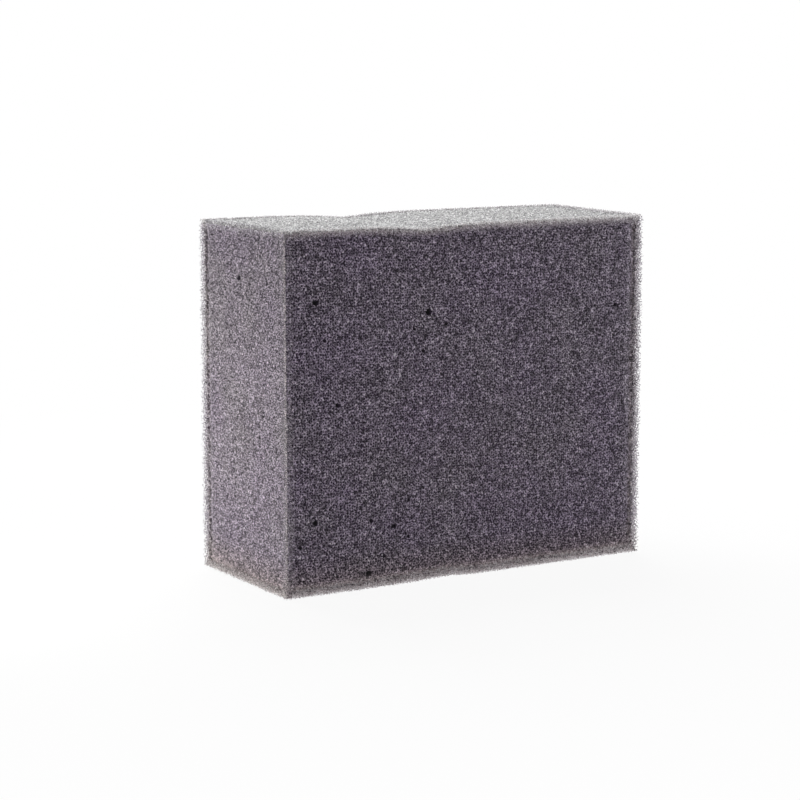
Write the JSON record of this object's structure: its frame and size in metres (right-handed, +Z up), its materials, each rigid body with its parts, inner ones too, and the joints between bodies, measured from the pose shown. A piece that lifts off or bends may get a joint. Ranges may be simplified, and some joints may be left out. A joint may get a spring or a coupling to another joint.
{
  "type": "applicator sponge",
  "caption": "Rectangular block of fine open-cell foam, sawn on all sides, with a shallow crease across its top, for wiping dressings and cleaners on by hand.",
  "frame": {"origin": "middle of the footprint, on the surface that the block stands on", "axes": "+X along the block's length, +Y from the front face to the back face, +Z up"},
  "size_m": [0.12, 0.0486, 0.1],
  "materials": {
    "foam": "open-cell polyurethane foam, sawn, dark grey with a mauve cast"
  },
  "bodies": {
    "root": {"foam_block": "foam"}
  },
  "joints": []
}
